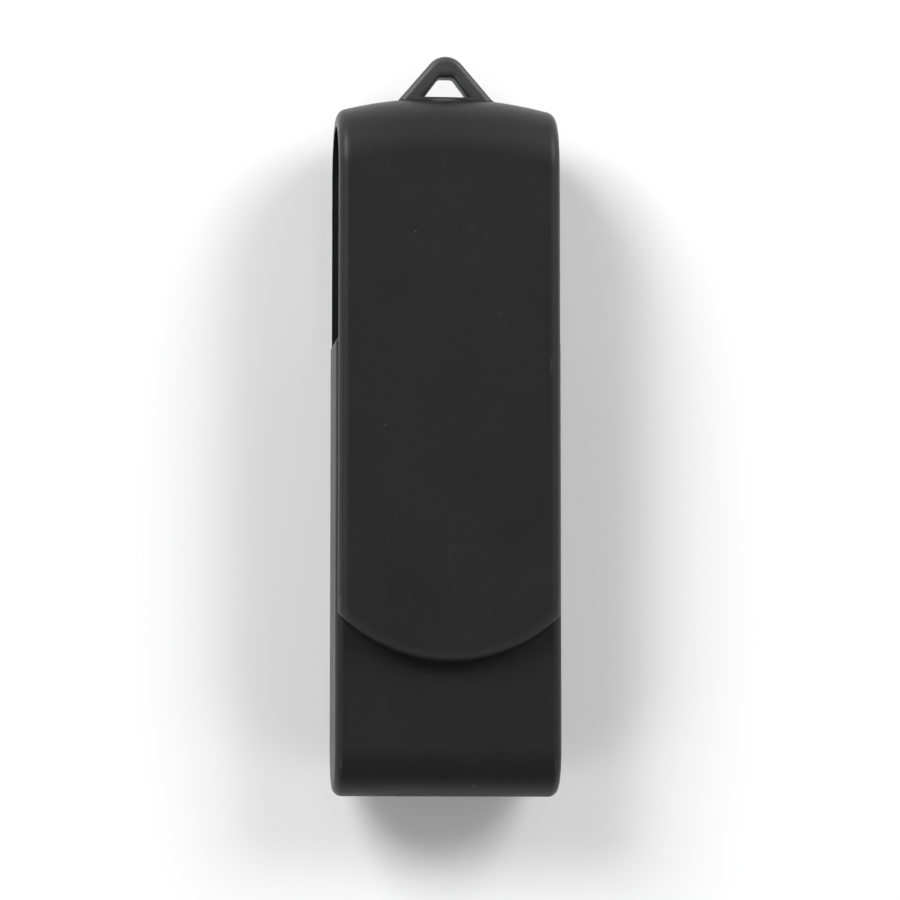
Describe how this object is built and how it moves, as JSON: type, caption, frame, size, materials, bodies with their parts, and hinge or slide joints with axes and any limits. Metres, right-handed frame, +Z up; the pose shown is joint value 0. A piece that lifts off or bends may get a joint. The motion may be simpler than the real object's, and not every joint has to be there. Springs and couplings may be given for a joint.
{
  "type": "usb flash drive",
  "caption": "Black swivel flash drive: a flat plastic stick with a USB-A plug, and a U-shaped clip with a lanyard loop that turns on its pivot to cover the plug.",
  "frame": {"origin": "on the low land on the clip's back plate, that the closed drive lies on, under the middle of its length and width", "axes": "+Y along the drive towards the plug and the lanyard loop, +X across its width, +Z up through its thickness"},
  "size_m": [0.0192, 0.0635, 0.0108],
  "materials": {
    "soft_touch_plastic": "moulded ABS with a rubbery matt black coating",
    "loop_plastic": "bare black moulded nylon, faint sheen",
    "plug_steel": "nickel-plated sheet steel, satin",
    "insulator_plastic": "white moulded PBT",
    "contact_gold": "gold-flashed copper alloy",
    "board_laminate": "glass-epoxy laminate under green solder mask",
    "chip_epoxy": "black moulding compound",
    "tinned_lead": "tinned copper alloy and tin solder, bright",
    "crystal_ceramic": "fired ceramic",
    "capacitor_ceramic": "fired brown ceramic",
    "resistor_ceramic": "alumina with a dark glass film"
  },
  "bodies": {
    "drive_body": {"front_shell": "soft_touch_plastic", "back_shell": "soft_touch_plastic", "plug_shell": "plug_steel", "plug_insulator": "insulator_plastic", "plug_solder": "tinned_lead", "power_contact": "contact_gold", "data_minus_contact": "contact_gold", "data_plus_contact": "contact_gold", "ground_contact": "contact_gold", "circuit_board": "board_laminate", "memory_chip": "chip_epoxy", "memory_chip_leads": "tinned_lead", "controller_chip": "chip_epoxy", "controller_leads": "tinned_lead", "voltage_regulator": "chip_epoxy", "regulator_leads": "tinned_lead", "crystal_base": "crystal_ceramic", "crystal_lid": "plug_steel", "capacitor_bodies": "capacitor_ceramic", "capacitor_end_caps": "tinned_lead", "resistor_bodies": "resistor_ceramic", "resistor_end_caps": "tinned_lead"},
    "clip": {"swivel_clip": "soft_touch_plastic", "lanyard_loop": "loop_plastic"}
  },
  "joints": [
    {"name": "clip_swivel", "type": "hinge", "parent": "drive_body", "child": "clip", "pos_m": [0, -0.00755, 0.0055], "axis": [0, 0, 1], "continuous": true}
  ]
}
